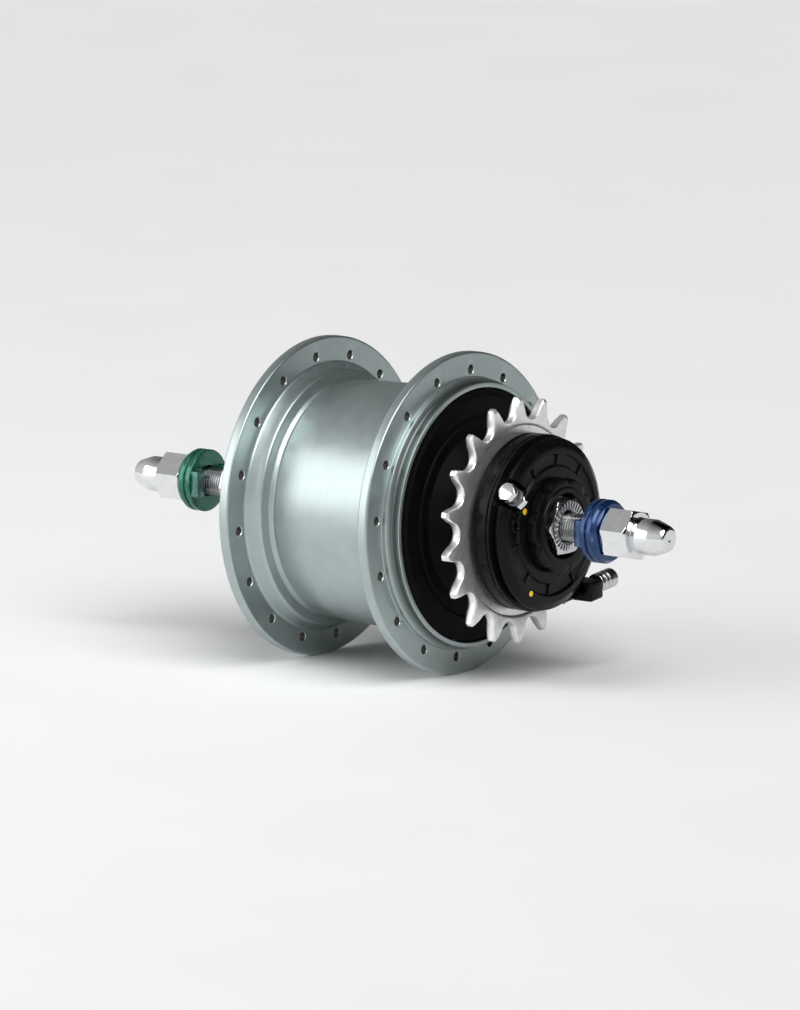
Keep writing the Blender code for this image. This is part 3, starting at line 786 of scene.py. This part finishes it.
def sprocket_edge():
    """Outline of a chain wheel: round roller seats, curved flanks and narrow tips."""
    pitch_r = CHAIN_PITCH / 2.0 / sin(pi / SPROCKET_TEETH)
    step = 360.0 / SPROCKET_TEETH
    points = []
    for k in range(SPROCKET_TEETH):
        middle = Vector(polar(pitch_r, k * step))
        seat = [middle + Vector(polar(ROLLER_SEAT_R, k * step + 180.0 - turn))
                for turn in range(-64, 65, 16)]
        tips = [Vector(polar(pitch_r + 3.05, k * step + side * step * 0.44)) for side in (-1, 1)]
        shoulders = [Vector(polar(pitch_r + 1.0, k * step + side * step * 0.345)) for side in (-1, 1)]
        before = [curve_point(tips[0], shoulders[0], seat[0], t) for t in (0.0, 0.25, 0.5, 0.75)]
        after = [curve_point(seat[-1], shoulders[1], tips[1], t) for t in (0.25, 0.5, 0.75, 1.0)]
        points += before + seat + after
        points.append(Vector(polar(pitch_r + 3.2, (k + 0.5) * step)))
    return [(point.x, point.y) for point in points]


def curve_point(first, middle, last, t):
    """Point of a quadratic curve."""
    return first * (1.0 - t) ** 2 + middle * 2.0 * t * (1.0 - t) + last * t * t


def make_sprocket():
    """Stamped sprocket: chamfered teeth, a dished web and a lugged bore."""
    start, end = SPROCKET
    edge = sprocket_edge()
    angles = [degrees(atan2(z, x)) for x, z in edge]

    def shrunk(amount, tip_share=0.0):
        points = []
        for (x, z), angle in zip(edge, angles):
            radius = sqrt(x * x + z * z)
            points.append(polar(radius - amount - tip_share * max(0.0, radius - 33.0), angle))
        return points

    def circle(radius):
        return [polar(radius, angle) for angle in angles]

    def bore():
        return [polar(17.4 if abs((angle + 30.0) % 120.0 - 60.0) > 9.0 else 18.6, angle)
                for angle in angles]

    rings = [(start, circle(31.4)), (start, shrunk(0.35, 0.10)), (start + 0.35, shrunk(0.1, 0.04)),
             (start + 0.7, shrunk(0.0)), (end - 0.7, shrunk(0.0)), (end - 0.35, shrunk(0.1, 0.04)),
             (end, shrunk(0.35, 0.10)), (end, circle(31.4)), (end - 0.15, circle(31.0)),
             (end - 0.55, circle(30.5)), (end - 0.6, circle(30.1)), (end - 0.6, circle(20.6)),
             (end - 0.5, circle(20.2)), (end - 0.1, circle(19.8)), (end, circle(19.4)), (end, bore()),
             (start, bore()), (start, circle(19.8)), (start + 0.5, circle(20.4)),
             (start + 0.5, circle(30.4))]
    return dress(lofted("sprocket_body", rings, sharp=26.0), "sprocket_steel", "driver", "sprocket")


def make_snap_ring():
    """Open spring ring in the driver's groove."""
    opening, count = 12.0, 72
    start, end = station_span("snap_ring")
    outline = rounded([(start, 16.7, 0.2), (start, 18.9, 0.25), (end, 18.9, 0.25), (end, 16.7, 0.2)], 30.0)
    bm = bmesh.new()
    loops = []
    for k in range(count + 1):
        angle = -90.0 + opening / 2.0 + (360.0 - opening) * k / count
        loops.append([bm.verts.new(place(s, *polar(r, angle))) for s, r in outline])
    for first, second in zip(loops, loops[1:]):
        wall(bm, first, second)
    bm.faces.new(loops[0])
    bm.faces.new(loops[-1])
    return dress(store("snap_ring_body", bm), "bearing_steel", "driver", "snap_ring")


def make_driver():
    """Driver with its disc, neck and retaining groove."""
    corners = [
        (27.5, 10.5), (27.5, 33.6, 0.4), (29.7, 33.6, 0.4), (29.7, 17.1, 0.5), (44.2, 17.1, 0.2),
        (48.4, 17.1, 0.1), (48.5, 16.4, 0.1), (49.7, 16.4, 0.1), (49.8, 17.1, 0.1), (50.8, 17.1, 0.4),
        (50.8, 14.0, 0.3), (40.3, 14.0, 0.3), (40.3, 10.5)]
    return dress(turned("driver_body", corners), "driver_steel", "driver", "driver")


# ---------------------------------------------------------------- cassette joint
def cable_frame():
    """Matrix whose -Y axis is the cable's line, starting where the cable leaves the pulley."""
    along = Vector((-sin(radians(CABLE_TANGENT)), 0.0, cos(radians(CABLE_TANGENT))))
    start = place(CABLE_STATION, *polar(CABLE_R, CABLE_TANGENT))
    y_axis = -along
    z_axis = Vector((0.0, 1.0, 0.0))
    x_axis = y_axis.cross(z_axis)
    turn = Matrix((x_axis, y_axis, z_axis)).transposed().to_4x4()
    return Matrix.Translation(start) @ turn


def beside_cable(radius, distance, station):
    """Matrix at a distance along the cable's line and a radius there; X radial, Z along the cable."""
    radial = Vector((cos(radians(CABLE_TANGENT)), 0.0, sin(radians(CABLE_TANGENT))))
    along = Vector((-radial.z, 0.0, radial.x))
    centre = place(station, 0.0, 0.0) + radial * radius * MM + along * distance * MM
    return Matrix.Translation(centre) @ Matrix.Rotation(radians(-CABLE_TANGENT), 4, "Y")


def make_bracket():
    """Fixed black bracket: skirted disc with rim notches and an arm that carries the cable's stop."""
    start, end = BRACKET
    radius = PULLEY_R
    disc = turned("bracket_body", [
        (start + 2.2, 9.3), (start + 2.2, 23.0, 0.8), (start, 24.0, 0.5), (start, radius - 0.2, 0.6),
        (start + 1.0, radius, 0.2), (start + 1.4, radius - 0.6, 0.2), (start + 2.0, radius - 0.6, 0.2),
        (start + 2.4, radius, 0.2), (end, radius, 0.4), (end, 9.3)], SMOOTH)
    for size, where in (((8.2, 4.1, 16.0), beside_cable(25.9, 15.9, 52.5)),
                        ((6.4, 10.0, 7.0), beside_cable(27.2, 21.3, 56.0))):
        disc = boolean(disc, edge_softened(block("arm", size, where), 0.9, 3), "UNION")
    hole = turned_solid("hole", [(16.0, 1.3), (23.6, 1.3), (23.9, 2.1), (27.0, 2.1)], 24, cable_frame())
    disc = boolean(disc, hole)
    shaded(disc.data, 30.0)
    return dress(disc, "black_plastic", "axle", "cable_bracket")


def make_cable_stop():
    """Ferrule that the cable's casing pushes into: ribbed body with a rolled lip."""
    corners = [(25.1, 1.2), (25.1, 3.2, 0.3), (26.3, 3.2, 0.2), (26.6, 2.85, 0.1), (27.2, 2.85, 0.1),
               (27.5, 3.2, 0.2), (28.3, 3.2, 0.2), (28.6, 2.85, 0.1), (29.2, 2.85, 0.1), (29.5, 3.2, 0.2),
               (33.2, 3.2, 0.5), (34.0, 2.6, 0.3), (34.0, 2.3, 0.2), (31.0, 2.2), (31.0, 1.2)]
    stop = turned("cable_stop_body", corners, SMALL, cable_frame())
    return dress(stop, "locknut_steel", "axle", "cable_stop")


def make_pulley():
    """Black cable pulley: deep groove, sloped rim, ribbed recess and a pocket for the cable's clamp."""
    start, end = PULLEY
    radius = PULLEY_R
    body = turned("pulley_body", [
        (start, 6.6), (start, radius, 0.3), (start + 1.0, radius, 0.3), (start + 1.6, radius - 3.0, 0.2),
        (start + 3.1, radius - 3.0, 0.2), (start + 3.6, radius - 0.6, 0.3),
        (start + 4.4, radius - 0.9, 0.3), (end - 0.3, 25.0, 0.5), (end - 0.05, 22.9, 0.3),
        (end - 0.9, 22.4, 0.3), (end - 0.9, 19.2, 0.3),
        (end, 18.7, 0.2), (end, 6.6)], SMOOTH)
    pocket = block("pocket", (12.0, 5.4, 9.4), polar_frame(24.6, CLAMP_ANGLE, 59.5))
    body = boolean(body, edge_softened(pocket, 0.5))
    ribs = []
    for k in range(PULLEY_RIBS):
        angle = 12.0 + 360.0 / PULLEY_RIBS * k
        if abs((angle - CLAMP_ANGLE + 180.0) % 360.0 - 180.0) > 22.0:
            rib = block("rib", (3.4, 0.8, 1.0), polar_frame(20.8, angle, end - 0.7))
            ribs.append(applied(edge_softened(rib, 0.2)))
    body = join("pulley_face", [body] + ribs)
    shaded(body.data, 30.0)
    return dress(body, "black_plastic", "shifter", "cable_pulley")


def make_fixing_ring():
    """Black lock ring with rounded grip lobes and a stepped face."""
    start, end = FIXING
    count = 20 * FIXING_LOBES

    def rim(drop):
        points = []
        for k in range(count):
            angle = 360.0 * k / count
            bite = max(0.0, cos(radians(angle * FIXING_LOBES))) ** 3
            points.append(polar(FIXING_R - drop - bite, angle))
        return points

    rings = [(start, rim(0.3)), (start + 0.3, rim(0.0)), (end - 1.3, rim(0.0)), (end - 0.7, rim(0.25)),
             (end - 0.5, rim(0.8))]
    rings += [(station, ring_points(radius, count)) for station, radius in (
        (end - 0.5, 12.6), (end - 0.3, 12.3), (end, 12.1), (end, 10.7), (end - 0.3, 10.4), (start, 10.4))]
    return dress(lofted("fixing_ring_body", rings), "black_plastic", "axle", "fixing_ring")


def make_clamp():
    """Cable clamp lying along a radius in the pulley's pocket: silver head and nut on a dark block."""
    where = polar_frame(0.0, CLAMP_ANGLE, CLAMP_STATION) @ Matrix.Rotation(radians(90.0), 4, "Z")
    head = lofted("head", chamfered_hexagon(CLAMP_FLATS, 19.5, 21.9), closed=False, where=where)
    nut = lofted("nut", chamfered_hexagon(CLAMP_FLATS, 26.0, 28.1), closed=False, where=where)
    ends = join("cable_clamp_ends", [head, nut])
    shaded(ends.data, 25.0)
    dress(ends, "nut_chrome", "shifter", "cable_clamp_bolt")
    core = turned("cable_clamp_core", [
        (22.0, 0.6), (22.0, 3.0, 0.2), (22.9, 3.0, 0.2), (23.0, 2.5, 0.1), (24.9, 2.5, 0.1),
        (25.0, 3.0, 0.2), (25.9, 3.0, 0.2), (25.9, 0.6)], SMALL, where)
    dress(core, "driver_steel", "shifter")


def make_pulley_boss():
    """Small hollow boss beside the clamp."""
    boss = turned("pulley_boss", [
        (-0.6, 1.1), (-0.6, 2.3), (0.5, 2.3, 0.3), (0.5, 1.7, 0.15), (0.1, 1.3, 0.1), (0.1, 1.1)], SMALL,
        Matrix.Translation(place(PULLEY[1], *polar(21.2, 173.0))))
    dress(boss, "black_plastic", "shifter")


def make_setting_marks():
    """Two yellow dots that line up when the cable's length is right."""
    paint = mark_paint()
    for number, (radius, angle, size) in enumerate(((17.2, 158.0, 1.1), (23.9, -121.0, 0.9)), 1):
        dot = turned_solid(f"setting_mark_{number}", [
            (-0.4, size), (0.08, size), (0.18, 0.8 * size), (0.24, 0.5 * size), (0.26, 0.1)], 32,
            Matrix.Translation(place(PULLEY[1] - 0.1, *polar(radius, angle))))
        dress(dot, None, "shifter", material=paint)


# ---------------------------------------------------------------- floor, light and camera
def make_floor():
    """Pale floor under the hub."""
    base = cad_box[0][2]
    bm = bmesh.new()
    corners = ((-1, -1), (1, -1), (1, 1), (-1, 1))
    bm.faces.new([bm.verts.new((x * FLOOR_HALF_SIZE, y * FLOOR_HALF_SIZE, base)) for x, y in corners])
    mesh = bpy.data.meshes.new("floor")
    bm.to_mesh(mesh)
    bm.free()
    floor = linked("floor", mesh)
    floor.data.materials.append(floor_paint())


def make_lights():
    """Softbox on the brake side and a broad high light, both aimed at the hub."""
    data = bpy.data.lights.new("softbox", "AREA")
    data.shape = "RECTANGLE"
    data.size, data.size_y = SOFTBOX_SIZE
    data.energy = SOFTBOX_WATTS
    lamp = linked("softbox", data)
    towards = Vector(SOFTBOX_TOWARDS).normalized()
    lamp.location = towards * SOFTBOX_DISTANCE
    lamp.rotation_euler = towards.to_track_quat("Z", "Y").to_euler()

    data = bpy.data.lights.new("high_light", "SUN")
    data.energy = HIGH_LIGHT
    data.angle = radians(HIGH_LIGHT_SPREAD)
    lamp = linked("high_light", data)
    lamp.rotation_euler = Vector(HIGH_LIGHT_TOWARDS).to_track_quat("Z", "Y").to_euler()


def make_world():
    """Studio that darkens to the drive side and overhead, with an even backdrop for the camera."""
    world = bpy.data.worlds.new("studio")
    world.use_nodes = True
    tree = world.node_tree
    background = tree.nodes["Background"]
    direction = tree.nodes.new("ShaderNodeTexCoord").outputs["Generated"]

    def towards(axis, start, end, low, high):
        dot = tree.nodes.new("ShaderNodeVectorMath")
        dot.operation = "DOT_PRODUCT"
        tree.links.new(direction, dot.inputs[0])
        dot.inputs[1].default_value = axis
        ramp = tree.nodes.new("ShaderNodeMapRange")
        ramp.interpolation_type = "SMOOTHSTEP"
        tree.links.new(dot.outputs["Value"], ramp.inputs["Value"])
        for socket, value in zip(("From Min", "From Max", "To Min", "To Max"), (start, end, low, high)):
            ramp.inputs[socket].default_value = value
        return ramp.outputs[0]

    total = tree.nodes.new("ShaderNodeMath")
    total.operation = "ADD"
    total.use_clamp = True
    tree.links.new(towards(STUDIO_BRIGHT_TOWARDS, -0.7, 0.9, STUDIO_DARK, STUDIO_BRIGHT), total.inputs[0])
    tree.links.new(towards((0.0, 0.0, 1.0), 0.4, 1.0, 0.0, STUDIO_TOP), total.inputs[1])
    tree.links.new(total.outputs[0], background.inputs["Strength"])
    background.inputs["Color"].default_value = (0.98, 0.99, 1.0, 1.0)
    backdrop = tree.nodes.new("ShaderNodeBackground")
    backdrop.inputs["Strength"].default_value = BACKDROP
    seen = tree.nodes.new("ShaderNodeLightPath").outputs["Is Camera Ray"]
    mix = tree.nodes.new("ShaderNodeMixShader")
    tree.links.new(seen, mix.inputs[0])
    tree.links.new(background.outputs[0], mix.inputs[1])
    tree.links.new(backdrop.outputs[0], mix.inputs[2])
    tree.links.new(mix.outputs[0], tree.nodes["World Output"].inputs[0])
    bpy.context.scene.world = world


def make_camera():
    """Long lens from the rear of the drive side, a little above the axle."""
    azimuth, elevation = radians(CAMERA_AZIMUTH), radians(CAMERA_ELEVATION)
    back = Vector((sin(azimuth) * cos(elevation), -cos(azimuth) * cos(elevation), sin(elevation)))
    low, high = Vector(cad_box[0]), Vector(cad_box[1])
    middle = (low + high) / 2.0
    data = bpy.data.cameras.new("camera")
    camera = linked("camera", data)
    camera.location = middle + back * CAMERA_DISTANCE
    camera.rotation_euler = back.to_track_quat("Z", "Y").to_euler()
    data.sensor_width = 36.0
    data.lens = data.sensor_width * CAMERA_DISTANCE / VIEW_HEIGHT
    data.clip_start = 0.05
    data.clip_end = 30.0
    data.dof.use_dof = False
    bpy.context.scene.camera = camera


# ---------------------------------------------------------------- everything together
def repaint_frame():
    """Give each CAD node that stays its own finish."""
    slots = {row["node"]: row["material_slot"] for row in frame["record"]["subparts"]}
    for node, item in NODES.items():
        item.data.materials.clear()
        item.data.materials.append(MATERIALS[slots[node]])


repaint_frame()
make_shell()
make_rotor_splines()
make_axle()
make_left_end()
for word, side, slot in (("left", -1.0, "washer_green"), ("right", 1.0, "washer_blue")):
    make_locknut(word, side)
    make_washer(word, side, slot)
    make_cap_nut(word, side)
make_dust_cap()
make_sprocket()
make_snap_ring()
make_driver()
make_bracket()
make_cable_stop()
make_pulley()
make_fixing_ring()
make_clamp()
make_pulley_boss()
make_setting_marks()
make_floor()
make_lights()
make_world()
make_camera()

bpy.context.scene.view_settings.view_transform = "Standard"
